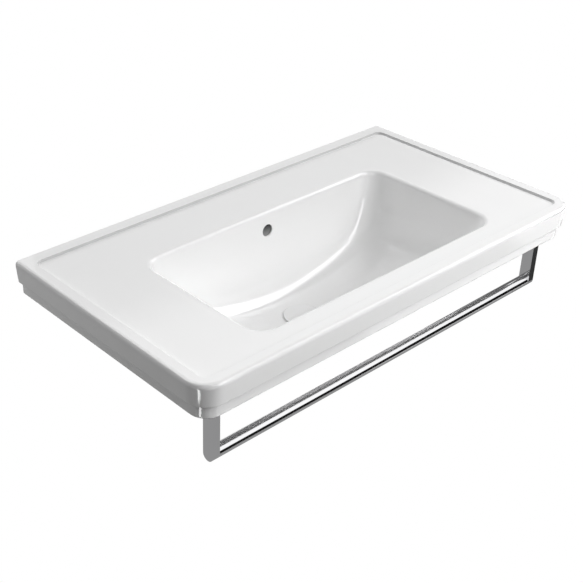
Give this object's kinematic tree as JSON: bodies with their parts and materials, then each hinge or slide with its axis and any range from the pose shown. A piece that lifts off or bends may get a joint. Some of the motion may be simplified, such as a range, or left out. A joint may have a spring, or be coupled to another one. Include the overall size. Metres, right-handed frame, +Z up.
{
  "type": "washbasin",
  "caption": "Wide wall-hung ceramic washbasin with a raised rim, one rectangular bowl with overflow, a push-open waste under a ceramic cover and a chrome towel rail below the front edge.",
  "frame": {"origin": "midway between the two wall bolts, on the wall face", "axes": "+X to the right seen from the front, +Y into the wall, +Z up"},
  "size_m": [1, 0.537, 0.2955],
  "materials": {
    "ceramic": "white glaze",
    "chrome": "polished chrome plate",
    "brass": "turned brass",
    "steel": "stainless steel",
    "rubber": "black rubber",
    "nylon": "natural nylon"
  },
  "bodies": {
    "basin": {"basin_body": "ceramic", "waste_body": "chrome", "flange_seal": "rubber", "underside_washer": "rubber", "slip_washer": "nylon", "backnut": "brass", "clicker_sleeve": "brass", "clicker_spring": "steel", "rail_bar": "chrome", "left_leg": "chrome", "right_leg": "chrome", "left_foot_plate": "chrome", "right_foot_plate": "chrome", "left_foot_pad": "rubber", "right_foot_pad": "rubber", "foot_screws": "steel", "foot_plugs": "nylon"},
    "cover": {"waste_cover": "ceramic", "plug_carrier": "chrome", "plug_seal": "rubber", "clicker_plunger": "brass"}
  },
  "joints": [
    {"name": "cover_lift", "type": "slide", "parent": "basin", "child": "cover", "axis": [0, 0, 1], "range_m": [-0.001, 0.009], "deforming": ["clicker_spring"]}
  ]
}
